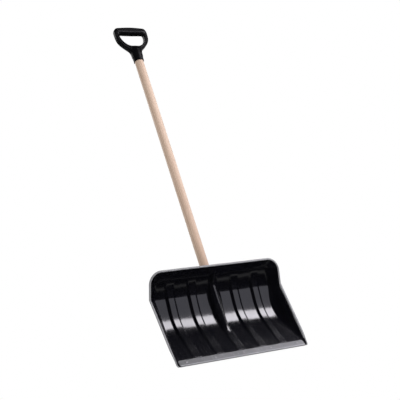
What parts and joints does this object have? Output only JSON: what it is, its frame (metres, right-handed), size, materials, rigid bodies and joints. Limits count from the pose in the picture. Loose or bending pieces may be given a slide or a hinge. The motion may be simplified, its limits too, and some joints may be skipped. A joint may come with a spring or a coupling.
{
  "type": "snow shovel",
  "caption": "Wide scoop-shaped plastic snow shovel with ribbed back, curled hood, folded metal wear strip, round wooden shaft and D-shaped hand grip.",
  "frame": {"origin": "on the flat sole of the wear strip, halfway across the blade and 6.5 mm behind the cutting edge", "axes": "+Z along the shaft from the blade to the grip; X across the blade; -Y the way the open face of the scoop looks"},
  "size_m": [0.5086, 0.0956, 1.3033],
  "materials": {
    "blade_plastic": "black moulded polypropylene, semi-gloss, faint moulding texture and scratches",
    "strip_metal": "mill-finish folded sheet, lightly scuffed",
    "rivet_metal": "satin, set flush on the sole side",
    "shaft_wood": "sanded pale hardwood, unvarnished, fine straight grain",
    "grip_plastic": "black moulded plastic, satin",
    "screw_steel": "zinc-plated steel"
  },
  "bodies": {
    "root": {"blade": "blade_plastic", "wear_strip": "strip_metal", "strip_rivets": "rivet_metal", "shaft": "shaft_wood", "d_grip": "grip_plastic", "shaft_screws": "screw_steel"}
  },
  "joints": []
}
